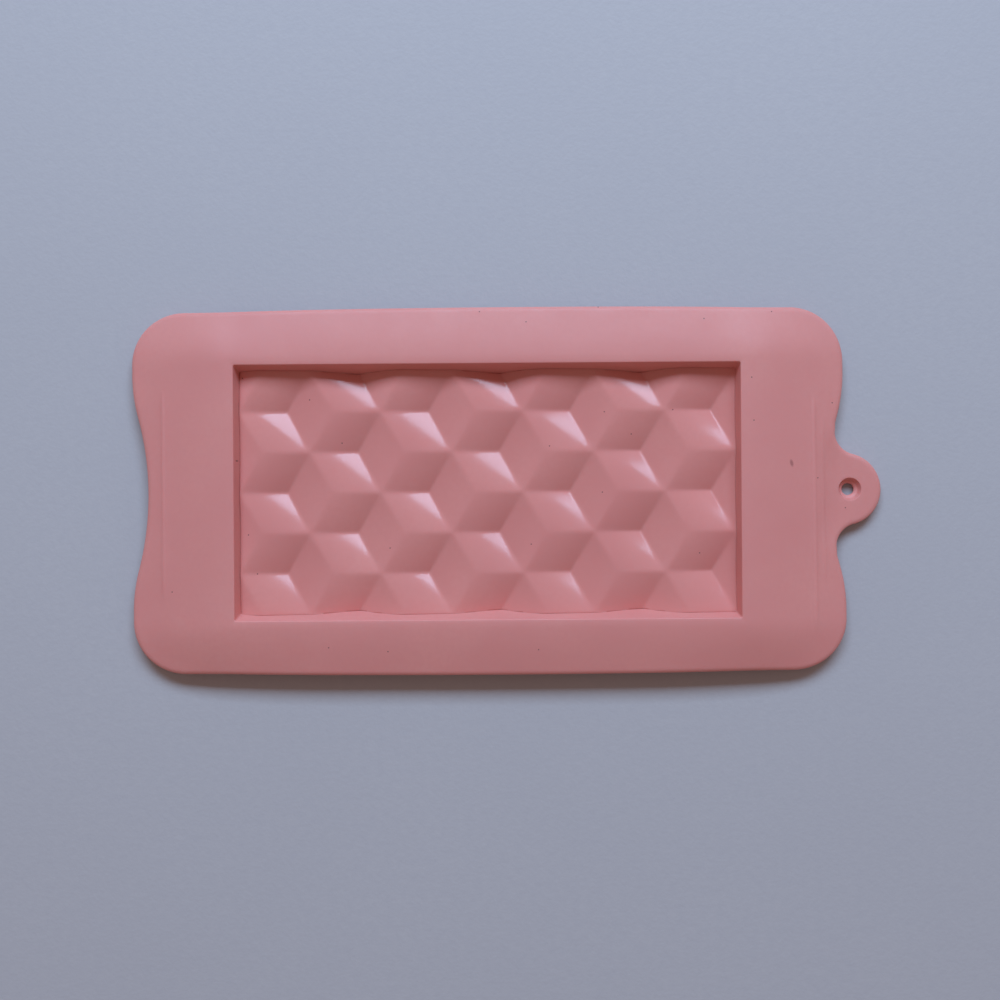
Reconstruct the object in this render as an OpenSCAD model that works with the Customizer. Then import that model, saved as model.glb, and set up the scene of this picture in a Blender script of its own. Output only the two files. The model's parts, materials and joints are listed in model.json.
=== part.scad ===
// Single-cavity silicone slab mould for soap, wax or resin bars.
// Frame: millimetres, +Z up. The origin is the middle of the cavity on the flat underside,
// +X runs along the long sides to the hanging tab, and the cavity opens towards +Z.
// The mould is one casting. Its regions are separate solids that meet face to face.

/* [Cube pattern] */
// Distance between the pattern's columns of nodes, where six edges meet
column_pitch = 20.65; // [18:0.05:21]
// Distance between neighbouring nodes in one column
row_pitch = 23.55; // [20:0.05:24]
// Height of a peak above the middle level, and depth of a pit below it
relief = 1.9; // [0.5:0.1:2.2]
// How far each wall cuts into the outermost cells of the pattern
edge_trim = 0.25; // [0.15:0.05:0.8]

/* [Cavity] */
// Silicone under the middle level of the pattern
floor_t = 3; // [2.8:0.1:5]
// Depth from the rim to the middle level of the pattern
cavity_depth = 6.2; // [5:0.2:20]
// How far each short wall leans outward over the cavity depth
end_lean = 1; // [0.2:0.05:1.5]
// How far each long wall leans outward over the cavity depth
side_lean = 1.8; // [0.2:0.05:2]
// Thickness of the cavity walls
wall_t = 2.2; // [1.5:0.1:3]

/* [Flange] */
// Overall length of the flange, without the hanging tab
flange_l = 204.4; // [196:0.2:212]
// Overall width of the flange at its middle
flange_w = 106.5; // [104:0.5:110]
// Thickness of the flange and of the tab
flange_t = 2.8; // [2:0.1:3.5]
// Radius of the four corners
corner_r = 15.5; // [8:0.5:16]
// How much narrower the flange is at a corner than at its middle, on each long side
side_crown = 0.8; // [0.1:0.1:1.2]
// Depth of the finger waist in each short end
waist_depth = 4.4; // [3.5:0.1:4.6]
// Half the length of the finger waist
waist_half = 34; // [33:0.5:34.5]
// Radius of the convex shoulder at each side of a waist
shoulder_r = 47; // [40:1:48]

/* [Hanging tab] */
// Radius of the rounded end of the tab
tab_r = 10.3; // [9:0.1:10.5]
// How far the tab reaches past the flange
tab_reach = 11.3; // [9.5:0.1:12]
// Radius of the fillets where the tab grows out of the flange
tab_fillet_r = 7.5; // [4:0.5:7.5]
// Radius of the hanging hole
hole_r = 1.7; // [1.5:0.1:2.2]
// Distance from the centre of the hole to the end of the tab
hole_to_end = 9; // [8:0.1:10]
// Radius of the recess round the hole, at the top face
recess_r = 3.2; // [3:0.1:4]
// Radius of the recess at its bottom
recess_seat_r = 2.6; // [2.4:0.1:2.9]
// Silicone left under the recess
web_t = 1.2; // [0.8:0.1:1.6]

/* [Hidden] */

silicone_pink = [0.86, 0.58, 0.60];
hole_fn = 64;
overshoot = 1;       // how far a cutting solid runs past the face that it cuts
long_side_steps = 8; // straight pieces in each long side
corner_steps = 10;
shoulder_steps = 5;
waist_steps = 4;     // from the end of a shoulder to the root of the tab
root_steps = 8;      // across the root of the tab
fillet_steps = 6;
tab_steps = 24;

// Heights
rim_z = floor_t + cavity_depth;
flange_z = rim_z - flange_t;

// The pattern's vertices lie on a triangular lattice: column i, row j, where i + j is even.
lattice_dx = column_pitch / 3;
lattice_dy = row_pitch / 2;
pattern_columns = 7; // between the short walls
pattern_rows = 3;    // between the long walls
floor_l = pattern_columns * column_pitch - 2 * edge_trim;
floor_w = pattern_rows * row_pitch - 2 * edge_trim;
first_column = -2;                              // the relief block runs past the walls by this much
row_points = ceil(3 * pattern_columns / 2) + 3; // lattice points in each row of the block
last_row = pattern_rows + 1;
row_count = 2 * last_row + 1;
block_points = row_points * row_count;

// Outline of the flange
end_x = flange_l / 2;
corner_y = flange_w / 2 - side_crown - corner_r;
corner_x = end_x - corner_r;
waist_angle = 2 * atan(waist_depth / waist_half);
waist_r = waist_half / sin(waist_angle) - shoulder_r;
waist_x = end_x - waist_depth + waist_r;        // centre of the concave waist arc
side_r = (corner_x * corner_x + side_crown * side_crown) / (2 * side_crown);
side_angle = asin(corner_x / side_r);
side_y = flange_w / 2 - side_r;                 // centre of a long side's very flat arc

// Outline of the tab. Each fillet touches the tab's round end and the waist arc.
tab_x = end_x + tab_reach - tab_r;
fillet_gap = pow(waist_r - tab_fillet_r, 2) - pow(tab_r + tab_fillet_r, 2);
fillet_x = (waist_x * waist_x - tab_x * tab_x - fillet_gap) / (2 * (waist_x - tab_x));
fillet_y = sqrt(pow(tab_r + tab_fillet_r, 2) - pow(fillet_x - tab_x, 2));
root_angle = atan(fillet_y / (waist_x - fillet_x));
tab_angle = atan2(fillet_y, fillet_x - tab_x);
hole_x = end_x + tab_reach - hole_to_end;

// Points of an arc about [x, y] from angle a0 to a1, both ends included.
function arc(x, y, r, a0, a1, steps) =
    [for (k = [0 : steps]) let (a = a0 + (a1 - a0) * k / steps) [x + r * cos(a), y + r * sin(a)]];

function mirror_y(points) = [for (k = [len(points) - 1 : -1 : 0]) [points[k][0], -points[k][1]]];
function mirror_x(points) = [for (k = [len(points) - 1 : -1 : 0]) [-points[k][0], points[k][1]]];
function without_first(points) = [for (k = [1 : len(points) - 1]) points[k]];

// The waist arc across the root of the tab, from its upper end to its lower end.
function root_arc() = arc(waist_x, 0, waist_r, 180 - root_angle, 180 + root_angle, root_steps);

// The right end from the middle of the waist's upper half up to the top right corner's end, going up.
function upper_right() = concat(
    arc(waist_x, 0, waist_r, 180 - root_angle, 180 - waist_angle, waist_steps),
    without_first(arc(end_x - shoulder_r, waist_half, shoulder_r, -waist_angle, 0, shoulder_steps)),
    arc(corner_x, corner_y, corner_r, 0, 90 - side_angle, corner_steps));

function top_side() = without_first(arc(0, side_y, side_r, 90 - side_angle, 90 + side_angle, long_side_steps));

// The whole right end, anticlockwise, with the root arc between its two halves.
function right_end() = concat(
    mirror_y(upper_right()),
    [for (k = [root_steps - 1 : -1 : 1]) root_arc()[k]],
    upper_right());

function flange_outline() = concat(
    right_end(), top_side(), without_first(mirror_x(right_end())), without_first(mirror_y(mirror_x(top_side()))));

function tab_outline() = concat(
    root_arc(),
    without_first(arc(fillet_x, -fillet_y, tab_fillet_r, 180 - root_angle, 180 - tab_angle, fillet_steps)),
    without_first(arc(tab_x, 0, tab_r, -tab_angle, tab_angle, tab_steps)),
    without_first(arc(fillet_x, fillet_y, tab_fillet_r, 180 + tab_angle, 180 + root_angle, fillet_steps)));

// A four-sided block from height z0 to z1. Its sides lean as the cavity's walls do, "grow" outside them.
module leaning_block(z0, z1, grow) {
    reach = floor_l + floor_w;
    intersection() {
        rotate([90, 0, 0]) linear_extrude(reach, center = true)
            leaning_section(floor_l / 2 + grow, end_lean, z0, z1);
        rotate([90, 0, 90]) linear_extrude(reach, center = true)
            leaning_section(floor_w / 2 + grow, side_lean, z0, z1);
    }
}

// Its section: "half" is half of its width at the floor's middle level.
module leaning_section(half, lean, z0, z1) {
    low = half + (z0 - floor_t) * lean / cavity_depth;
    high = half + (z1 - floor_t) * lean / cavity_depth;
    polygon([[-low, z0], [low, z0], [high, z1], [-high, z1]]);
}

// Height of the relief at lattice column i: a node, then a peak, then a pit.
function relief_z(i) = floor_t + relief * [0, 1, -1][(i % 3 + 3) % 3];
function row_start(j) = first_column + abs((first_column + j) % 2);
function lattice_point(i, j, z) = [(i - 1.5 * pattern_columns) * lattice_dx, j * lattice_dy, z];

// Faces between lattice row n and the row above it, for points counted from "base".
function row_faces(n, base) = [
    for (m = [0 : row_points - 2])
        let (low = base + n * row_points + m, high = low + row_points,
             leans_right = row_start(n - last_row) < row_start(n + 1 - last_row))
        each leans_right
            ? [[low, high, low + 1], [high, high + 1, low + 1]]
            : [[low, high, high + 1], [low, high + 1, low + 1]]];

function flipped(faces) = [for (f = faces) [f[2], f[1], f[0]]];

// A block with a flat underside and the faceted cube pattern on top, wider than the cavity.
module relief_block() {
    tops = [for (j = [-last_row : last_row], m = [0 : row_points - 1])
        let (i = row_start(j) + 2 * m) lattice_point(i, j, relief_z(i))];
    feet = [for (p = tops) [p[0], p[1], -overshoot]];
    top_faces = [for (n = [0 : row_count - 2]) each row_faces(n, 0)];
    foot_faces = flipped([for (n = [0 : row_count - 2]) each row_faces(n, block_points)]);
    last = block_points - row_points;
    front = [for (m = [0 : row_points - 2])
        [m, m + 1, block_points + m + 1, block_points + m]];
    back = [for (m = [0 : row_points - 2])
        [last + m + 1, last + m, block_points + last + m, block_points + last + m + 1]];
    left = [for (n = [0 : row_count - 2]) let (k = n * row_points)
        [k + row_points, k, block_points + k, block_points + k + row_points]];
    right = [for (n = [0 : row_count - 2]) let (k = (n + 1) * row_points - 1)
        [k, k + row_points, block_points + k + row_points, block_points + k]];
    polyhedron(concat(tops, feet), concat(top_faces, foot_faces, front, back, left, right), convexity = 10);
}

module rim_flange() {
    color(silicone_pink) difference() {
        translate([0, 0, flange_z]) linear_extrude(flange_t) polygon(flange_outline());
        leaning_block(flange_z - overshoot, rim_z + overshoot, 0);
    }
}

module hanging_tab() {
    color(silicone_pink) difference() {
        translate([0, 0, flange_z]) linear_extrude(flange_t) polygon(tab_outline());
        translate([hole_x, 0, flange_z - overshoot]) cylinder(h = flange_t, r = hole_r, $fn = hole_fn);
        translate([hole_x, 0, flange_z + web_t])
            cylinder(h = flange_t - web_t, r1 = recess_seat_r, r2 = recess_r, $fn = hole_fn);
    }
}

module cavity_walls() {
    color(silicone_pink) difference() {
        leaning_block(0, flange_z, wall_t);
        leaning_block(-overshoot, flange_z + overshoot, 0);
    }
}

module patterned_floor() {
    color(silicone_pink) intersection() {
        relief_block();
        leaning_block(0, rim_z, 0);
    }
}

rim_flange();
hanging_tab();
cavity_walls();
patterned_floor();
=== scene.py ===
"""A pink silicone slab mould for soap bars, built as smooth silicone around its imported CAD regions.

The mould is one casting. It is made here as two closed skins that meet inside the foot of the cavity walls.
One is silicone_rim: the flange, the hanging tab and the cavity walls. The other is silicone_floor: the
patterned floor and base. Geometry is worked out in millimetres in the CAD frame and turned into metres when
a mesh is made.
"""

import json
import math

import bmesh
import bpy
import numpy as np
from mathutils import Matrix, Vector, geometry


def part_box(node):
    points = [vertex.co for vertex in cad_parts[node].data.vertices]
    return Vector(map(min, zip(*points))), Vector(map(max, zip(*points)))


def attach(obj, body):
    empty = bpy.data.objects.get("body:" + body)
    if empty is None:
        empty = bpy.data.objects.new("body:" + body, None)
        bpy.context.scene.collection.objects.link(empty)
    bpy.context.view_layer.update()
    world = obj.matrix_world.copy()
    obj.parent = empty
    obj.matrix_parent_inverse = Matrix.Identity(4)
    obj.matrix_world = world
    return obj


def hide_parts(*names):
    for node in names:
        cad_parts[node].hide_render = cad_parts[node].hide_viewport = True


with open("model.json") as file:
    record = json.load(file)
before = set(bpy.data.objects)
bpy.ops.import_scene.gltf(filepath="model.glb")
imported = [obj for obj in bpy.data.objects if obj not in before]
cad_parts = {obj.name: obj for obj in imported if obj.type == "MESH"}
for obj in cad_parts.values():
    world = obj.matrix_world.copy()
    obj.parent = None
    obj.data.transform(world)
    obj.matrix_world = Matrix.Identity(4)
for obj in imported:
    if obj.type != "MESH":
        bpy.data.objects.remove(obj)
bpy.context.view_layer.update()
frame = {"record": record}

MM = 0.001
QUARTER_TURN = math.pi / 2

# Sizes that the CAD boxes and the hanging hole's mount give
FLANGE_LOW, FLANGE_HIGH = (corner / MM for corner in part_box("rim_flange"))
TAB_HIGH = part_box("hanging_tab")[1] / MM
WALLS_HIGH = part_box("cavity_walls")[1] / MM
HOLE = next(m for m in frame["record"]["mounts"] if m["name"] == "hang_hole")
HOLE_CENTRE = Vector(HOLE["pos_m"][:2]) / MM
HOLE_R = HOLE["dims"]["r_mm"]
WEB_T = HOLE["dims"]["length_mm"]

END_X = FLANGE_HIGH.x
SIDE_Y = FLANGE_HIGH.y
RIM_Z = FLANGE_HIGH.z
FLANGE_Z = FLANGE_LOW.z

# The design's other dimensions
CORNER_R = 15.5
SIDE_CROWN = 0.8
WAIST_DEPTH = 4.4
WAIST_HALF = 34.0
SHOULDER_R = 47.0
TAB_R = 10.3
TAB_FILLET_R = 7.5
RECESS_R = 3.2
RECESS_SEAT_R = 2.6
FLOOR_Z = 3.0                      # middle level of the relief
COLUMN_PITCH = 20.65
ROW_PITCH = 23.55
PATTERN_COLUMNS = 7
PATTERN_ROWS = 3
EDGE_TRIM = 0.25
FLOOR_HALF = (
    PATTERN_COLUMNS * COLUMN_PITCH / 2 - EDGE_TRIM,
    PATTERN_ROWS * ROW_PITCH / 2 - EDGE_TRIM,
)
LEAN = (1.0, 1.8)                  # how far the short and long walls lean out, floor to rim
RELIEF = 1.9
WALL_T = (WALLS_HIGH.x - FLOOR_HALF[0]) - (FLANGE_Z - FLOOR_Z) * LEAN[0] / (RIM_Z - FLOOR_Z)


# ---------------------------------------------------------------- outlines

ARC_SPACING = 0.25


def arc(x, y, r, start, end):
    """Evenly spaced points of an arc, ends included."""
    steps = max(4, int(abs(end - start) * r / ARC_SPACING))
    angles = np.linspace(start, end, steps + 1)
    return np.column_stack([x + r * np.cos(angles), y + r * np.sin(angles)])


def half_outline():
    """The upper half of the outline, from the tip of the tab round to the middle of the left waist."""
    corner_y = SIDE_Y - SIDE_CROWN - CORNER_R
    corner_x = END_X - CORNER_R
    waist_angle = 2 * math.atan(WAIST_DEPTH / WAIST_HALF)
    waist_r = WAIST_HALF / math.sin(waist_angle) - SHOULDER_R
    waist_x = END_X - WAIST_DEPTH + waist_r
    side_r = (corner_x ** 2 + SIDE_CROWN ** 2) / (2 * SIDE_CROWN)
    side_angle = math.asin(corner_x / side_r)
    tab_x = TAB_HIGH.x - TAB_R
    gap = (waist_r - TAB_FILLET_R) ** 2 - (TAB_R + TAB_FILLET_R) ** 2
    fillet_x = (waist_x ** 2 - tab_x ** 2 - gap) / (2 * (waist_x - tab_x))
    fillet_y = math.sqrt((TAB_R + TAB_FILLET_R) ** 2 - (fillet_x - tab_x) ** 2)
    root_angle = math.atan(fillet_y / (waist_x - fillet_x))
    tab_angle = math.atan2(fillet_y, fillet_x - tab_x)
    shoulder = arc(END_X - SHOULDER_R, WAIST_HALF, SHOULDER_R, -waist_angle, 0)
    corner = arc(corner_x, corner_y, CORNER_R, 0, QUARTER_TURN - side_angle)
    waist = arc(waist_x, 0, waist_r, math.pi, math.pi - waist_angle)
    right = np.vstack([
        arc(tab_x, 0, TAB_R, 0, tab_angle),
        arc(fillet_x, fillet_y, TAB_FILLET_R, math.pi + tab_angle, math.pi + root_angle),
        arc(waist_x, 0, waist_r, math.pi - root_angle, math.pi - waist_angle),
        shoulder,
        corner,
    ])
    side = arc(0, SIDE_Y - side_r, side_r, QUARTER_TURN - side_angle, QUARTER_TURN + side_angle)
    left = np.vstack([waist, shoulder, corner])[::-1] * (-1, 1)
    return np.vstack([right, side, left])


def evenly(points, spacing):
    """A closed curve's points, moved to even distances along it."""
    closed = np.vstack([points, points[:1]])
    length = np.concatenate([[0], np.cumsum(np.linalg.norm(np.diff(closed, axis=0), axis=1))])
    where = np.linspace(0, length[-1], int(length[-1] / spacing) + 1)[:-1]
    return np.column_stack([np.interp(where, length, closed[:, k]) for k in (0, 1)])


def inward_normals(points):
    """Unit normals that point into an anticlockwise closed curve."""
    along = np.roll(points, -1, axis=0) - np.roll(points, 1, axis=0)
    along /= np.linalg.norm(along, axis=1)[:, None]
    return np.column_stack([-along[:, 1], along[:, 0]])


def flange_outline(spacing=0.8):
    """The outline of the flange and the tab, and its inward normals."""
    upper = half_outline()
    points = evenly(np.vstack([upper, upper[::-1] * (1, -1)]), spacing)
    return points, inward_normals(points)


def rounded_box(half_x, half_y, r, side_steps=(140, 70), corner_steps=8):
    """A rectangle with round corners, anticlockwise, always with the same number of points."""
    corners = [(1, 1), (-1, 1), (-1, -1), (1, -1)]
    parts = []
    for k, (sx, sy) in enumerate(corners):
        cx = sx * (half_x - r)
        cy = sy * (half_y - r)
        start = k * QUARTER_TURN
        end = start + QUARTER_TURN
        angles = np.linspace(start, end, corner_steps + 1)
        bend = np.column_stack([cx + r * np.cos(angles), cy + r * np.sin(angles)])
        nx, ny = corners[(k + 1) % 4]
        next_bend = np.array([
            nx * (half_x - r) + r * math.cos(end),
            ny * (half_y - r) + r * math.sin(end),
        ])
        share = np.linspace(0, 1, side_steps[k % 2] + 1)[1:-1, None]
        parts += [bend, bend[-1] + (next_bend - bend[-1]) * share]
    return np.vstack(parts)


def circle(centre, r, steps=72):
    """Points of a circle, anticlockwise."""
    angles = np.linspace(0, 2 * math.pi, steps, endpoint=False)
    return np.column_stack([centre[0] + r * np.cos(angles), centre[1] + r * np.sin(angles)])


def inside(points, ring):
    """Whether each point lies inside a closed ring."""
    x, y = points[:, 0], points[:, 1]
    hit = np.zeros(len(points), bool)
    for (x0, y0), (x1, y1) in zip(ring, np.roll(ring, -1, axis=0)):
        if y0 != y1:
            hit ^= ((y0 > y) != (y1 > y)) & (x < (x1 - x0) * (y - y0) / (y1 - y0) + x0)
    return hit


# ---------------------------------------------------------------- mesh building

SAME_POINT = 1e-6      # points closer than this are one point


class Shell:
    """A closed skin under construction: points in millimetres, rings of points and the faces between them."""

    def __init__(self):
        self.points = np.zeros((0, 3))
        self.faces = []

    def ring(self, xy, z):
        """Adds a ring of points at height z, and returns their numbers."""
        first = len(self.points)
        heights = np.full(len(xy), float(z))
        self.points = np.vstack([self.points, np.column_stack([xy, heights])])
        return np.arange(first, first + len(xy))

    def join(self, rings):
        """Quads between each ring and the next, all of the same length."""
        for a, b in zip(rings, rings[1:]):
            quads = np.column_stack([a, np.roll(a, -1), np.roll(b, -1), b])
            self.faces += quads.tolist()

    def fill(self, outer, holes, free_xy, z, flip=False):
        """A triangulated sheet between an outer ring and hole rings, through free points at height z."""
        first = len(self.points)
        self.ring(free_xy, z)
        rings = [outer, *holes]
        numbers = np.concatenate([*rings, np.arange(first, len(self.points))])
        edges = []
        start = 0
        for r in rings:
            edges += [(start + k, start + (k + 1) % len(r)) for k in range(len(r))]
            start += len(r)
        flat = [Vector(p) for p in self.points[numbers, :2]]
        found = geometry.delaunay_2d_cdt(flat, edges, [], 0, SAME_POINT)
        origin = np.array([numbers[ids[0]] for ids in found[3]])
        triangles = origin[np.array(found[2])]
        triangles = triangles[between(self.points[triangles, :2].mean(axis=1), self.flat_rings(rings))]
        self.faces += (triangles[:, ::-1] if flip else triangles).tolist()

    def flat_rings(self, rings):
        """The points of several rings, seen from above."""
        return [self.points[r, :2] for r in rings]

    def make(self, name):
        """The finished object, smooth shaded, in metres."""
        mesh = bpy.data.meshes.new(name)
        mesh.from_pydata((self.points * MM).tolist(), [], self.faces)
        return smooth_object(name, mesh)


def smooth_object(name, mesh):
    """An object of a finished mesh, smooth shaded, in the scene."""
    mesh.validate()
    mesh.shade_smooth()
    made = bpy.data.objects.new(name, mesh)
    bpy.context.scene.collection.objects.link(made)
    return made


def between(points, loops):
    """Whether each point lies inside the first loop and outside the others."""
    outer, *holes = loops
    keep = inside(points, outer)
    for hole in holes:
        keep &= ~inside(points, hole)
    return keep


def hex_points(half_x, half_y, spacing):
    """Points on a triangular grid over a rectangle about the origin."""
    rise = spacing * math.sqrt(3) / 2
    rows = int(half_y / rise)
    columns = int(half_x / spacing)
    return np.array([
        ((c + 0.5 * (r % 2)) * spacing, r * rise)
        for r in range(-rows, rows + 1)
        for c in range(-columns, columns + 1)
    ])


def clear_of(points, rings, gap, batch=100):
    """The points that are further than gap from every ring's points."""
    for ring in rings:
        for part in np.array_split(ring, max(1, len(ring) // batch)):
            away = np.linalg.norm(points[:, None] - part[None], axis=2).min(axis=1)
            points = points[away > gap]
    return points


# ---------------------------------------------------------------- rim, tab and walls

SEAM_Z = 1.2           # where the two skins meet, under the level of the floor
INNER_CORNER_R = 0.5   # the cavity's upright corners
OUTER_CORNER_R = 2.8   # the pocket's upright corners
LIP_R = 0.3            # the edge between the cavity walls and the flange
RECESS_LIP_R = 0.15    # the edge between the tab's recess and its top face
EDGE_WIDTH = 1.5       # how far in the flange's top edge starts to round down
EDGE_DROP = 0.75
UNDER_EDGE_R = 0.6
GUARD = 0.6            # a flat margin beside each rounded edge, which keeps the shading of the faces clean
LIP_REACH = 2.6        # how far out from the cavity the rim dips towards it
LIP_DIP = 0.09
DIP_FROM = 1.0         # the lowest part of the flange that takes part in the dip, over its underside
POCKET_FILLET_R = 0.9  # between the pocket and the flange's underside

INNER_RINGS = 10       # rings up the inside of the cavity wall
OUTER_RINGS = 8        # and up the outside of the pocket
DIP_RINGS = 4
EDGE_RINGS = 12        # over the flange's wide top edge
SMALL_RINGS = 6        # over a small rounded edge
RECESS_RINGS = 5

# The soft steps of the hanging hole: distance out from a radius, and height over a level
SEAT_STEPS = ((0.12, 0.3), (0.0, 0.1), (-0.12, 0.02), (-0.3, -0.04))      # the recess's seat
THROAT_STEPS = ((0.45, -0.14), (0.22, -0.26), (0.07, -0.42), (0.0, -0.62))  # from the seat down the hole
FOOT_STEPS = ((0.0, 0.25), (0.07, 0.07), (0.25, 0.0))                     # out at the tab's underside

# The faint raised lines near the short ends: place, lower end, upper end and height
MOULDING_LINES = ((-93.3, -31.0, 30.0, 0.2), (93.7, -41.0, 27.0, 0.22), (96.2, -27.0, 22.0, 0.1))
LINE_HALF_WIDTH = 0.45
LINE_SECTION = (-1.8, -1, -0.5, 0, 0.5, 1, 1.8)  # where points lie across a line, in half widths
LINE_MARGIN = 2.0      # how far the points run past a line's ends
LINE_FADE = 4.0        # how far from its end a line has its full height

TOP_SPACING = 1.7      # between the free points of the top face
TOP_GAP = 0.9          # and from them to the rings
UNDER_SPACING = 2.5
UNDER_GAP = 1.2


def wall_half(z, grow=0.0):
    """Half length and half width of the cavity at height z, plus grow."""
    share = (z - FLOOR_Z) / (RIM_Z - FLOOR_Z)
    return FLOOR_HALF[0] + LEAN[0] * share + grow, FLOOR_HALF[1] + LEAN[1] * share + grow


def inner_wall(shell):
    """Rings up the inside of the cavity wall, over its lip and across the dip beside it."""
    lip_z = RIM_Z - LIP_R
    rings = []
    for z in np.linspace(SEAM_Z, lip_z, INNER_RINGS):
        rings.append(shell.ring(rounded_box(*wall_half(z), INNER_CORNER_R), z))
    for t in np.linspace(0, QUARTER_TURN, SMALL_RINGS)[1:]:
        out = LIP_R * (1 - math.cos(t))
        half = wall_half(lip_z, out)
        rings.append(shell.ring(rounded_box(*half, INNER_CORNER_R + out), lip_z + LIP_R * math.sin(t)))
    for share in np.linspace(0, 1, DIP_RINGS + 1)[1:]:
        margin = LIP_R + share * LIP_REACH
        half = wall_half(lip_z, margin)
        rings.append(shell.ring(rounded_box(*half, INNER_CORNER_R + margin), RIM_Z))
    return rings


def outer_wall(shell):
    """Rings up the outside of the pocket and out under the flange."""
    fillet_z = FLANGE_Z - POCKET_FILLET_R
    rings = []
    for z in np.linspace(SEAM_Z, fillet_z, OUTER_RINGS):
        rings.append(shell.ring(rounded_box(*wall_half(z, WALL_T), OUTER_CORNER_R), z))
    for t in np.linspace(0, QUARTER_TURN, SMALL_RINGS)[1:]:
        out = POCKET_FILLET_R * (1 - math.cos(t))
        half = wall_half(fillet_z, WALL_T + out)
        z = FLANGE_Z - POCKET_FILLET_R * (1 - math.sin(t))
        rings.append(shell.ring(rounded_box(*half, OUTER_CORNER_R + out), z))
    margin = POCKET_FILLET_R + GUARD
    half = wall_half(fillet_z, WALL_T + margin)
    rings.append(shell.ring(rounded_box(*half, OUTER_CORNER_R + margin), FLANGE_Z))
    return rings


def flange_edge(shell):
    """Rings from the flange's flat top, over its soft edge, to its underside."""
    outline, inward = flange_outline()
    profile = [(EDGE_WIDTH + GUARD, RIM_Z)]
    for t in np.linspace(0, QUARTER_TURN, EDGE_RINGS):
        profile.append((EDGE_WIDTH * (1 - math.sin(t)), RIM_Z - EDGE_DROP * (1 - math.cos(t))))
    for t in np.linspace(0, QUARTER_TURN, SMALL_RINGS):
        profile.append((UNDER_EDGE_R * (1 - math.cos(t)), FLANGE_Z + UNDER_EDGE_R * (1 - math.sin(t))))
    profile.append((UNDER_EDGE_R + GUARD, FLANGE_Z))
    return [shell.ring(outline + inward * inset, z) for inset, z in profile]


def hanging_hole(shell):
    """Rings down the stepped hole of the tab, from its top face to its underside."""
    seat_z = FLANGE_Z + WEB_T
    profile = [(RECESS_R + RECESS_LIP_R + GUARD, RIM_Z)]
    for t in np.linspace(0, QUARTER_TURN, RECESS_RINGS):
        r = RECESS_R + RECESS_LIP_R * (1 - math.sin(t))
        profile.append((r, RIM_Z - RECESS_LIP_R * (1 - math.cos(t))))
    profile += [(RECESS_SEAT_R + out, seat_z + up) for out, up in SEAT_STEPS]
    profile += [(HOLE_R + out, seat_z + up) for out, up in THROAT_STEPS]
    profile += [(HOLE_R + out, FLANGE_Z + up) for out, up in FOOT_STEPS]
    profile.append((profile[-1][0] + GUARD, FLANGE_Z))
    return [shell.ring(circle(HOLE_CENTRE, r), z) for r, z in profile]


def line_points():
    """Points along the moulding lines, close enough together to carry their section."""
    return np.array([
        (x + across * LINE_HALF_WIDTH, y)
        for x, low, high, _ in MOULDING_LINES
        for across in LINE_SECTION
        for y in np.arange(low - LINE_MARGIN, high + LINE_MARGIN, 1.0)
    ])


def top_points(loops):
    """The free points of the top face, with those of the moulding lines."""
    lines = line_points()
    free = clear_of(hex_points(TAB_HIGH.x, SIDE_Y, TOP_SPACING), [*loops, lines], TOP_GAP)
    free = np.vstack([free, lines])
    return free[between(free, loops)]


def under_points(loops):
    """The free points of the flange's underside."""
    free = clear_of(hex_points(TAB_HIGH.x, SIDE_Y, UNDER_SPACING), loops, UNDER_GAP)
    return free[between(free, loops)]


def rim_skin():
    """The flange, the tab and the cavity walls in one closed skin."""
    shell = Shell()
    inner = inner_wall(shell)
    outer = outer_wall(shell)
    edge = flange_edge(shell)
    hole = hanging_hole(shell)
    shell.join(inner[::-1])
    shell.join(outer)
    shell.join([inner[0], outer[0]])
    shell.join(edge[::-1])
    shell.join(hole)
    top = [edge[0], inner[-1], hole[0]]
    shell.fill(top[0], top[1:], top_points(shell.flat_rings(top)), RIM_Z)
    under = [edge[-1], outer[-1], hole[-1]]
    shell.fill(under[0], under[1:], under_points(shell.flat_rings(under)), FLANGE_Z, flip=True)
    settle(shell)
    return shell.make("silicone_rim")


# ---------------------------------------------------------------- droop of the rim

STIFF_HALF = (76.0, 38.0)          # half length and width of the part that the pocket holds flat
DROOP = 0.034                      # droop of the free rim, one millimetre from that part
DROOP_POWER = 1.58                 # how fast the droop grows with distance
CORNER_DROOP = 3.5                 # how much more the long edges droop near the corners
CORNER_START = 45.0                # where along the mould that starts
CORNER_POWER = 1.6                 # how fast that grows towards the edge
TAB_DROOP = 2.5                    # and how much more the tab does
LOWEST_DROOP = 6.2                 # a droop that just clears the table
SPREAD = 0.0025                    # how much the rim spreads outwards for each millimetre that it droops
RIGHT_SHIFT = 0.65                 # how far out the tab's end of the rim is pulled, along its middle line
RIGHT_TURN = 0.01                  # and how much more for each millimetre towards -Y
FAR_SHIFT = 0.25                   # how far out the edge at +Y is pulled, at its middle
FAR_TURN = 0.003                   # and how much more for each millimetre towards the tab
TAB_DRAW = 1.05                    # how far the drooping tab is drawn back in
TAB_START = 95.0                   # where the rim turns into the tab
TAB_RAMP = 6.5                     # and over what length
TAB_HALF = 14.0                    # half the width that belongs to the tab
RIPPLE = 0.05                      # height of the drooping rim's slight waves
RIPPLE_TURN = (0.071, 0.093)       # their turn for each millimetre along X and Y, in radians
RIPPLE_START = (0.6, 1.1)
RIPPLE_FROM = 0.5                  # the droop at which they have their full height
LINE_DEPTH = 0.5                   # how deep under the top face a moulding line raises points
SLOPE_STEP = 0.01                  # the step over which a slope is measured


def tab_share(x, y):
    """0 on the flange, rising to 1 on the hanging tab."""
    return np.clip((x - TAB_START) / TAB_RAMP, 0, 1) * np.exp(-(y / TAB_HALF) ** 4)


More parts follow.
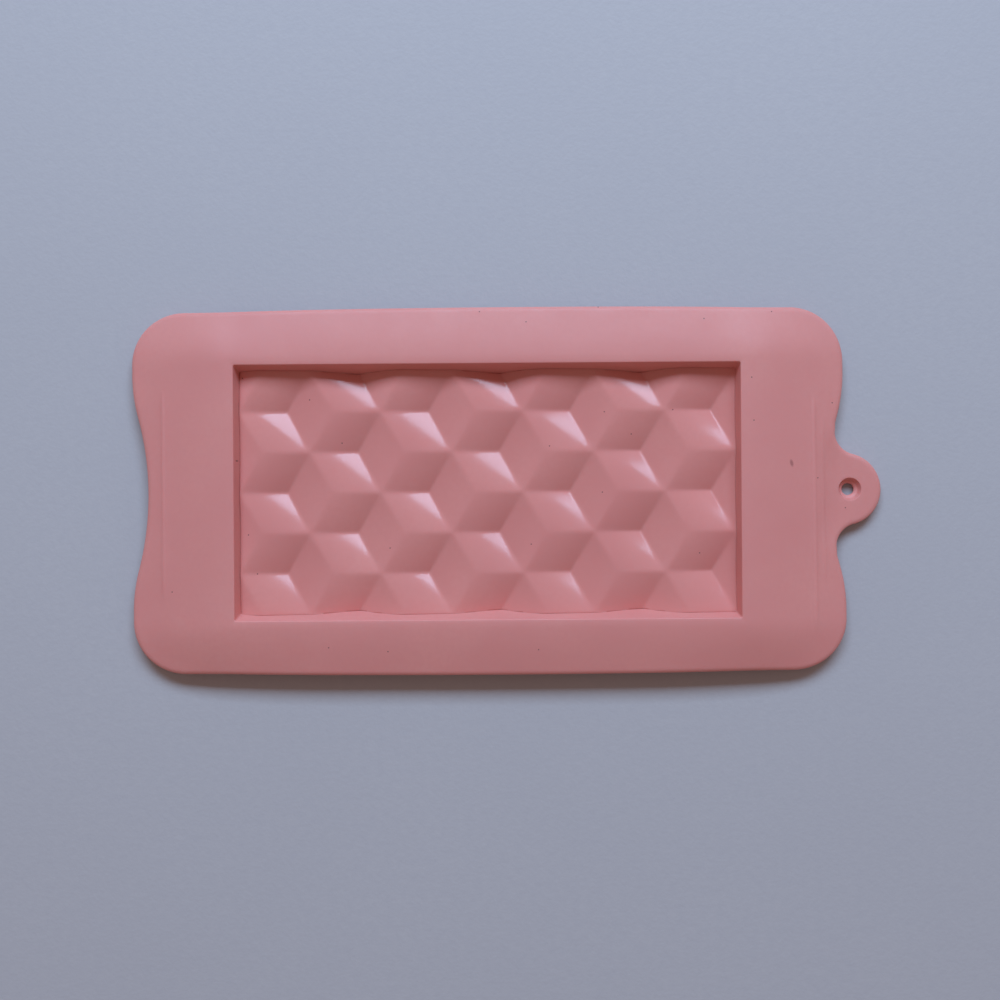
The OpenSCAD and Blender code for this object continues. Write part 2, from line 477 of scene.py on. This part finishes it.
def droop_at(x, y):
    """How far the soft rim hangs down at x, y."""
    past_x = np.clip(np.abs(x) - STIFF_HALF[0], 0, None)
    past_y = np.clip(np.abs(y) - STIFF_HALF[1], 0, None)
    towards_end = np.clip((np.abs(x) - CORNER_START) / (END_X - CORNER_START), 0, 1)
    towards_side = past_y / (SIDE_Y - STIFF_HALF[1])
    free = DROOP * np.hypot(past_x, past_y) ** DROOP_POWER
    free += CORNER_DROOP * towards_end ** 2 * towards_side ** CORNER_POWER
    free += TAB_DROOP * tab_share(x, y)
    return LOWEST_DROOP * np.tanh(free / LOWEST_DROOP)


def droop_slopes(x, y):
    """How fast the droop grows along X and along Y."""
    along_x = droop_at(x + SLOPE_STEP, y) - droop_at(x - SLOPE_STEP, y)
    along_y = droop_at(x, y + SLOPE_STEP) - droop_at(x, y - SLOPE_STEP)
    return along_x / (2 * SLOPE_STEP), along_y / (2 * SLOPE_STEP)


def lip_dip(x, y, z):
    """How far the rim's top face dips towards the cavity."""
    half = wall_half(RIM_Z)
    beside = np.maximum(np.abs(x) - half[0], np.abs(y) - half[1])
    near = np.clip(1 - beside / LIP_REACH, 0, 1)
    return np.where(z > FLANGE_Z + DIP_FROM, LIP_DIP * near * near, 0)


def line_rise(x, y, z):
    """How far the moulding lines raise the top face."""
    height = np.zeros(len(x))
    for place, low, high, rise in MOULDING_LINES:
        across = np.exp(-((x - place) / LINE_HALF_WIDTH) ** 2)
        ends = np.clip((y - low) / LINE_FADE, 0, 1) * np.clip((high - y) / LINE_FADE, 0, 1)
        height += rise * across * ends
    return np.where(z > RIM_Z - LINE_DEPTH, height, 0)


def ripple(x, y, droop):
    """Slight waves of the rim where it droops."""
    wave_x = np.sin(x * RIPPLE_TURN[0] + RIPPLE_START[0])
    wave_y = np.sin(y * RIPPLE_TURN[1] + RIPPLE_START[1])
    return RIPPLE * wave_x * wave_y * np.clip(droop / RIPPLE_FROM, 0, 1)


def settle(shell):
    """Bends the soft flange as the real one hangs, and raises its moulding lines."""
    x, y, z = shell.points.T.copy()
    slope_x, slope_y = droop_slopes(x, y)
    droop = droop_at(x, y)
    depth = RIM_Z - z
    end_share = np.clip((np.abs(x) - STIFF_HALF[0]) / (END_X - STIFF_HALF[0]), 0, 1)
    side_share = np.clip((y - STIFF_HALF[1]) / (SIDE_Y - STIFF_HALF[1]), 0, 1)
    right_shift = np.where(x > 0, end_share * np.clip(RIGHT_SHIFT - RIGHT_TURN * y, 0, None), 0)
    right_shift -= TAB_DRAW * tab_share(x, y)
    far_shift = side_share * (FAR_SHIFT + FAR_TURN * x)
    shell.points[:, 0] = x * (1 + SPREAD * droop) - slope_x * depth + right_shift
    shell.points[:, 1] = y * (1 + SPREAD * end_share * droop) - slope_y * depth + far_shift
    shell.points[:, 2] = z - droop - lip_dip(x, y, z) + ripple(x, y, droop) + line_rise(x, y, z)


# ---------------------------------------------------------------- patterned floor

LATTICE_DX = COLUMN_PITCH / 3      # the pattern's vertices lie on a triangular lattice
LATTICE_DY = ROW_PITCH / 2
PATTERN_LEFT = -1.5 * PATTERN_COLUMNS * LATTICE_DX
CELL_STEPS = 26        # mesh steps along one side of a pattern triangle
SHEET_MARGIN = 2.0     # how far the relief's sheet runs past the floor before it is trimmed
NODE_RISE = 0.8        # how far the nodes stand above the middle level, as a share of the relief
PIT_BLUR = 0.16        # how far a pit's edges are rounded
PEAK_BLUR = 0.65       # how far a peak's edges are rounded
BLUR_LOW = -0.6        # the height, as a share of the relief, up to which the pits' blur holds
BLUR_HIGH = 0.8        # and from which the peaks' does
BLUR_RINGS = ((0.0, 1), (0.6, 8), (1.2, 12), (1.9, 16))  # radius in blurs, and samples at that radius
BLUR_CORE = 0.3        # the least radius that a ring of samples is weighted by
EMBED = 0.05           # how far the floor runs into the walls, so that no gap shows
BASE_EDGE_R = 1.0
BASE_RINGS = 7
CUT_MARGIN = 1e-5      # points this close to a cut lie on it


def peak_and_pit(x, y):
    """How much of the nearest peak and of the nearest pit there is at x, y, each from 0 to 1."""
    v = y / LATTICE_DY
    u = ((x - PATTERN_LEFT) / LATTICE_DX - v) / 2
    a = np.floor(u)
    b = np.floor(v)
    fa = u - a
    fb = v - b

    def share(kind):
        def corner(i, j):
            return (2 * i + j) % 3 == kind

        low = (1 - fa - fb) * corner(a, b) + fa * corner(a + 1, b) + fb * corner(a, b + 1)
        high = (fa + fb - 1) * corner(a + 1, b + 1)
        high = high + (1 - fa) * corner(a, b + 1) + (1 - fb) * corner(a + 1, b)
        return np.where(fa + fb < 1, low, high)

    return share(1), share(2)


def sharp_pattern(x, y):
    """The cube pattern, from -1 at a pit to 1 at a peak. Raised nodes twist each face."""
    peak, pit = peak_and_pit(x, y)
    return (1 + NODE_RISE) * (1 + peak - pit) - 2 * NODE_RISE * peak * (1 - pit) - 1


def soft_pattern(x, y):
    """The pattern with crisp pits and softly rounded peaks."""
    share = np.clip((sharp_pattern(x, y) - BLUR_LOW) / (BLUR_HIGH - BLUR_LOW), 0, 1)
    blur = PIT_BLUR + (PEAK_BLUR - PIT_BLUR) * share * share * (3 - 2 * share)
    height = np.zeros_like(x)
    weights = 0.0
    for ring, count in BLUR_RINGS:
        weight = math.exp(-ring * ring / 2) * max(ring, BLUR_CORE) / count
        for k in range(count):
            angle = 2 * math.pi * (k + 0.5 * ring) / count
            step_x = blur * ring * math.cos(angle)
            step_y = blur * ring * math.sin(angle)
            height += weight * sharp_pattern(x + step_x, y + step_y)
            weights += weight
    return height / weights


def relief_sheet():
    """The relief as a sheet of triangles whose edges follow the pattern's own lines."""
    dx = LATTICE_DX / CELL_STEPS
    dy = LATTICE_DY / CELL_STEPS
    rows = int((FLOOR_HALF[1] + SHEET_MARGIN) / dy) + 1
    columns = int((FLOOR_HALF[0] + SHEET_MARGIN) / dx / 2) + 2
    first = 2 * CELL_STEPS * round((-columns * 2 * dx - PATTERN_LEFT) / (2 * CELL_STEPS * dx))
    grid_x = np.array([
        [PATTERN_LEFT + (first + 2 * c + r % 2) * dx for c in range(2 * columns + 2 * CELL_STEPS)]
        for r in range(-rows, rows + 1)
    ])
    grid_y = np.repeat(np.arange(-rows, rows + 1)[:, None] * dy, grid_x.shape[1], axis=1)
    z = FLOOR_Z + RELIEF * soft_pattern(grid_x, grid_y)
    number = np.arange(grid_x.size).reshape(grid_x.shape)
    points = np.column_stack([grid_x.ravel(), grid_y.ravel(), z.ravel()])
    triangles = []
    for k, r in enumerate(range(-rows, rows)):
        a, b = number[k][:-1], number[k][1:]
        c, d = number[k + 1][:-1], number[k + 1][1:]
        pairs = ((a, b, d), (a, d, c)) if r % 2 else ((a, b, c), (b, d, c))
        for pair in pairs:
            triangles += np.column_stack(pair).tolist()
    return points, triangles


def trimmed_relief():
    """The relief cut off at the leaning walls, as a bmesh in millimetres."""
    points, triangles = relief_sheet()
    bm = bmesh.new()
    made = [bm.verts.new(p) for p in points]
    for t in triangles:
        bm.faces.new([made[k] for k in t])
    half = wall_half(FLOOR_Z, EMBED)
    for axis in (0, 1):
        for side in (-1, 1):
            on_wall = Vector((0, 0, FLOOR_Z))
            on_wall[axis] = side * half[axis]
            normal = Vector((0, 0, -LEAN[axis] / (RIM_Z - FLOOR_Z)))
            normal[axis] = side
            whole = bm.verts[:] + bm.edges[:] + bm.faces[:]
            bmesh.ops.bisect_plane(
                bm, geom=whole, dist=CUT_MARGIN, plane_co=on_wall, plane_no=normal, clear_outer=True)
    return bm


def boundary_ring(bm):
    """The boundary of an open sheet, in order."""
    edge = next(e for e in bm.edges if e.is_boundary)
    ring = [edge.verts[0]]
    vert = edge.verts[1]
    while vert is not ring[0]:
        ring.append(vert)
        edge = next(e for e in vert.link_edges if e.is_boundary and e is not edge)
        vert = edge.other_vert(vert)
    area = sum(a.co.x * b.co.y - b.co.x * a.co.y for a, b in zip(ring, ring[1:] + ring[:1]))
    return ring if area > 0 else ring[::-1]


def round_corners(x, y, half_x, half_y, r):
    """A point on a rectangle's edge, drawn in to the same rectangle with round corners."""
    qx = max(-half_x + r, min(half_x - r, x))
    qy = max(-half_y + r, min(half_y - r, y))
    away = math.hypot(x - qx, y - qy)
    return (qx + (x - qx) * r / away, qy + (y - qy) * r / away)


def base_profile():
    """The outside of the base from the seam to the flat underside: inset and height."""
    bend = [(BASE_EDGE_R * (1 - math.cos(t)), BASE_EDGE_R * (1 - math.sin(t)))
            for t in np.linspace(0, QUARTER_TURN, BASE_RINGS)]
    return [(0.0, SEAM_Z)] + bend


def floor_skin():
    """The patterned floor down to the flat base, in one closed skin."""
    bm = trimmed_relief()
    top = boundary_ring(bm)
    foot = wall_half(SEAM_Z, EMBED)
    below = []
    for v in top:
        here = wall_half(v.co.z, EMBED)
        below.append((v.co.x * foot[0] / here[0], v.co.y * foot[1] / here[1]))
    rings = [top, [bm.verts.new((x, y, SEAM_Z)) for x, y in below]]
    corner_r = OUTER_CORNER_R
    for inset, z in base_profile():
        half = wall_half(z, WALL_T - inset)
        rings.append([
            bm.verts.new((*round_corners(x * half[0] / foot[0], y * half[1] / foot[1], *half, corner_r), z))
            for x, y in below
        ])
    for high, low in zip(rings, rings[1:]):
        for k in range(len(top)):
            j = (k + 1) % len(top)
            bm.faces.new([high[k], low[k], low[j], high[j]])
    bm.faces.new(rings[-1][::-1])
    bmesh.ops.scale(bm, vec=(MM, MM, MM), verts=bm.verts)
    mesh = bpy.data.meshes.new("silicone_floor")
    bm.to_mesh(mesh)
    bm.free()
    return smooth_object("silicone_floor", mesh)


# ---------------------------------------------------------------- materials

PINK = (0.79, 0.326, 0.282)
DEEP_PINK = (0.755, 0.294, 0.258)
BLEMISH = (0.36, 0.12, 0.11)
DUST_BROWN = (0.16, 0.07, 0.06)
TABLE_PALE = (0.522, 0.522, 0.522)
TABLE_CLOUD = (0.505, 0.506, 0.509)
TABLE_GRAIN = (0.485, 0.487, 0.495)

BLEMISH_PLACE = (87.8, 7.6)
BLEMISH_SIZE = (0.45, 0.95)
BLEMISH_TURN = 0.25                    # radians
BLEMISH_STRENGTH = 0.7
DUST_SPACING = 21
DUST_SIZE = 0.34
SPECK_EDGE = (0.35, 0.65)              # where a speck's soft edge starts and ends, in sizes
SPECK_CHANCE = (0.5, 0.52)             # the draw under which a cell has no speck, and over which it has one
SPOT_EDGE = (0.6, 1.4)                 # where a spot's soft edge starts and ends, in sizes
SHEEN_SPREAD = (-0.04, 0.05)           # how smears change the roughness
FLECK_SPREAD = (-0.02, 0.02)           # and how the pigment does
COARSE_GRAIN = 2.5                     # depth of the coarser texture over that of the finest
WEAVE_DEPTH = 0.05                     # of the table's texture, in millimetres
SOFT_DEPTH = (1.0, 0.45, 0.4)          # how far red, green and blue light runs under the skin, as shares
SOFT_SCALE = 0.7 * MM                  # of this


def new_material(name):
    """An empty node material's shader, a maker of further nodes, and the tree's way of linking them."""
    material = bpy.data.materials.new(name)
    material.use_nodes = True
    tree = material.node_tree
    shader = tree.nodes["Principled BSDF"]

    def add(kind, **values):
        node = tree.nodes.new(kind)
        for key, value in values.items():
            if key in node.inputs:
                node.inputs[key].default_value = value
            else:
                setattr(node, key, value)
        return node

    return material, shader, add, tree.links.new


def ramp(add, link, value, low, high, to_low=0.0, to_high=1.0):
    """A node that maps a value from one range to another, and clamps it."""
    ends = {"From Min": low, "From Max": high, "To Min": to_low, "To Max": to_high}
    node = add("ShaderNodeMapRange", **ends)
    link(value, node.inputs["Value"])
    return node.outputs["Result"]


def noise(add, link, place, scale, detail=2.0):
    """Soft noise at a scale given in waves per metre."""
    node = add("ShaderNodeTexNoise", Scale=scale, Detail=detail)
    link(place, node.inputs["Vector"])
    return node.outputs["Fac"]


def blend(add, link, share, first, second):
    """A mix of two colours. Either may be a constant or another node's output."""
    node = add("ShaderNodeMix", data_type="RGBA")
    link(share, node.inputs["Factor"])
    for socket, colour in ((node.inputs[6], first), (node.inputs[7], second)):
        if isinstance(colour, bpy.types.NodeSocket):
            link(colour, socket)
        else:
            socket.default_value = (*colour, 1)
    return node.outputs[2]


def combine(add, link, operation, first, second):
    """The sum or the product of two values."""
    node = add("ShaderNodeMath", operation=operation)
    link(first, node.inputs[0])
    link(second, node.inputs[1])
    return node.outputs[0]


def roughen(add, link, height, distance, normal=None):
    """A bump of this many millimetres."""
    node = add("ShaderNodeBump", Strength=1.0, Distance=distance * MM)
    link(height, node.inputs["Height"])
    if normal:
        link(normal, node.inputs["Normal"])
    return node.outputs["Normal"]


def specks(add, link, place, spacing, size):
    """A mask of sparse round specks in half of its cells, given their spacing and size in millimetres."""
    cells = add("ShaderNodeTexVoronoi", voronoi_dimensions="2D", Scale=1 / (spacing * MM))
    link(place, cells.inputs["Vector"])
    core = SPECK_EDGE[0] * size / spacing
    rim = SPECK_EDGE[1] * size / spacing
    near = ramp(add, link, cells.outputs["Distance"], low=core, high=rim, to_low=1, to_high=0)
    chance = add("ShaderNodeSeparateColor")
    link(cells.outputs["Color"], chance.inputs["Color"])
    kept = ramp(add, link, chance.outputs["Red"], low=SPECK_CHANCE[0], high=SPECK_CHANCE[1])
    return combine(add, link, "MULTIPLY", near, kept)


def spot(add, link, place, centre, size, turn, strength):
    """A mask of one oblong spot with soft edges, its centre and size given in millimetres."""
    shape = add("ShaderNodeMapping", vector_type="TEXTURE")
    shape.inputs["Location"].default_value = (centre[0] * MM, centre[1] * MM, 0)
    shape.inputs["Rotation"].default_value = (0, 0, turn)
    shape.inputs["Scale"].default_value = (size[0] * MM, size[1] * MM, 1)
    link(place, shape.inputs["Vector"])
    away = add("ShaderNodeVectorMath", operation="LENGTH")
    link(shape.outputs["Vector"], away.inputs[0])
    low, high = SPOT_EDGE
    return ramp(add, link, away.outputs["Value"], low=low, high=high, to_low=strength, to_high=0)


def silicone_colour(add, link, place, pigment):
    """Pink with soft clouds, fine pigment, one blemish and a little dust."""
    clouds = ramp(add, link, noise(add, link, place, scale=38, detail=3), low=0.3, high=0.7)
    colour = blend(add, link, clouds, PINK, DEEP_PINK)
    fine = ramp(add, link, pigment, low=0.35, high=0.65, to_low=0, to_high=0.35)
    colour = blend(add, link, fine, colour, DEEP_PINK)
    blemish = spot(add, link, place, BLEMISH_PLACE, BLEMISH_SIZE, BLEMISH_TURN, BLEMISH_STRENGTH)
    colour = blend(add, link, blemish, colour, BLEMISH)
    return blend(add, link, specks(add, link, place, DUST_SPACING, DUST_SIZE), colour, DUST_BROWN)


def silicone(name, roughness, ior, grain):
    """Pigmented pink silicone. The grain is the depth of its finest texture in millimetres."""
    material, shader, add, link = new_material(name)
    place = add("ShaderNodeTexCoord").outputs["Object"]
    pigment = noise(add, link, place, scale=700)
    link(silicone_colour(add, link, place, pigment), shader.inputs["Base Color"])
    smears = noise(add, link, place, scale=95, detail=4)
    smooth, rough = (roughness + spread for spread in SHEEN_SPREAD)
    sheen = ramp(add, link, smears, low=0.3, high=0.7, to_low=smooth, to_high=rough)
    smooth, rough = FLECK_SPREAD
    flecks = ramp(add, link, pigment, low=0.3, high=0.7, to_low=smooth, to_high=rough)
    link(combine(add, link, "ADD", sheen, flecks), shader.inputs["Roughness"])
    skin = roughen(add, link, noise(add, link, place, scale=2300), grain)
    skin = roughen(add, link, noise(add, link, place, scale=260), COARSE_GRAIN * grain, skin)
    link(skin, shader.inputs["Normal"])
    shader.inputs["IOR"].default_value = ior
    shader.inputs["Subsurface Weight"].default_value = 0.3
    shader.inputs["Subsurface Radius"].default_value = SOFT_DEPTH
    shader.inputs["Subsurface Scale"].default_value = SOFT_SCALE
    return material


def tabletop():
    """A plain pale table."""
    material, shader, add, link = new_material("table")
    place = add("ShaderNodeTexCoord").outputs["Object"]
    clouds = ramp(add, link, noise(add, link, place, scale=12, detail=4), low=0.3, high=0.7)
    grain = ramp(add, link, noise(add, link, place, scale=420, detail=3), low=0.3, high=0.7, to_high=0.6)
    colour = blend(add, link, clouds, TABLE_PALE, TABLE_CLOUD)
    link(blend(add, link, grain, colour, TABLE_GRAIN), shader.inputs["Base Color"])
    weave = roughen(add, link, noise(add, link, place, scale=900, detail=3), WEAVE_DEPTH)
    link(weave, shader.inputs["Normal"])
    shader.inputs["Roughness"].default_value = 0.6
    return material


# ---------------------------------------------------------------- stage

CAMERA_HEIGHT = 400 * MM           # above the rim
CAMERA_SIDE = (3.57 * MM, -2.5 * MM)
CAMERA_TURN = math.radians(-0.4)
CAMERA_LENS = 50.1

WINDOW_AZIMUTH = 87.5              # degrees, anticlockwise from +X
WINDOW_ELEVATION = 44.5
WINDOW_DISTANCE = 1.4
WINDOW_SIZE = (1.2, 0.49)
WINDOW_COLOUR = (0.54, 0.727, 1.0)
WINDOW_POWER = 22.1
SURROUND_COLOUR = (1.0, 0.70, 0.655)
SURROUND_STRENGTH = 0.255

TABLE_REACH = 12.0
TABLE_Z = -0.1 * MM                # a hair under the mould's base


def add_camera():
    """Looks straight down on the mould."""
    data = bpy.data.cameras.new("camera")
    data.lens = CAMERA_LENS
    camera = bpy.data.objects.new("camera", data)
    camera.location = (*CAMERA_SIDE, RIM_Z * MM + CAMERA_HEIGHT)
    camera.rotation_euler = (0, 0, CAMERA_TURN)
    bpy.context.scene.collection.objects.link(camera)
    bpy.context.scene.camera = camera


def add_window():
    """One wide soft light that faces the mould from its far side."""
    data = bpy.data.lights.new("window", "AREA")
    data.shape = "RECTANGLE"
    data.size, data.size_y = WINDOW_SIZE
    data.energy = WINDOW_POWER
    data.color = WINDOW_COLOUR
    light = bpy.data.objects.new("window", data)
    azimuth = math.radians(WINDOW_AZIMUTH)
    elevation = math.radians(WINDOW_ELEVATION)
    level = math.cos(elevation)
    towards = Vector((math.cos(azimuth) * level, math.sin(azimuth) * level, math.sin(elevation)))
    light.location = towards * WINDOW_DISTANCE
    light.rotation_euler = towards.to_track_quat("Z", "Y").to_euler()
    bpy.context.scene.collection.objects.link(light)


def add_surround():
    """A dim warm surround, as a room's walls give."""
    world = bpy.data.worlds.new("surround")
    world.use_nodes = True
    background = world.node_tree.nodes["Background"]
    background.inputs["Color"].default_value = (*SURROUND_COLOUR, 1)
    background.inputs["Strength"].default_value = SURROUND_STRENGTH
    bpy.context.scene.world = world


def add_table():
    """A plain floor under the mould."""
    mesh = bpy.data.meshes.new("table")
    signs = ((-1, -1), (1, -1), (1, 1), (-1, 1))
    corners = [(sx * TABLE_REACH, sy * TABLE_REACH, TABLE_Z) for sx, sy in signs]
    mesh.from_pydata(corners, [], [(0, 1, 2, 3)])
    mesh.materials.append(tabletop())
    table = bpy.data.objects.new("table", mesh)
    bpy.context.scene.collection.objects.link(table)


# ---------------------------------------------------------------- scene

add_camera()
add_window()
add_surround()
add_table()

rim = rim_skin()
rim.data.materials.append(silicone("silicone_satin", roughness=0.52, ior=1.5, grain=0.008))
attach(rim, "root")
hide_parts("rim_flange", "hanging_tab", "cavity_walls")

floor = floor_skin()
floor.data.materials.append(silicone("silicone_polished", roughness=0.15, ior=1.37, grain=0.0012))
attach(floor, "root")
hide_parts("patterned_floor")

bpy.context.scene.view_settings.view_transform = "Standard"
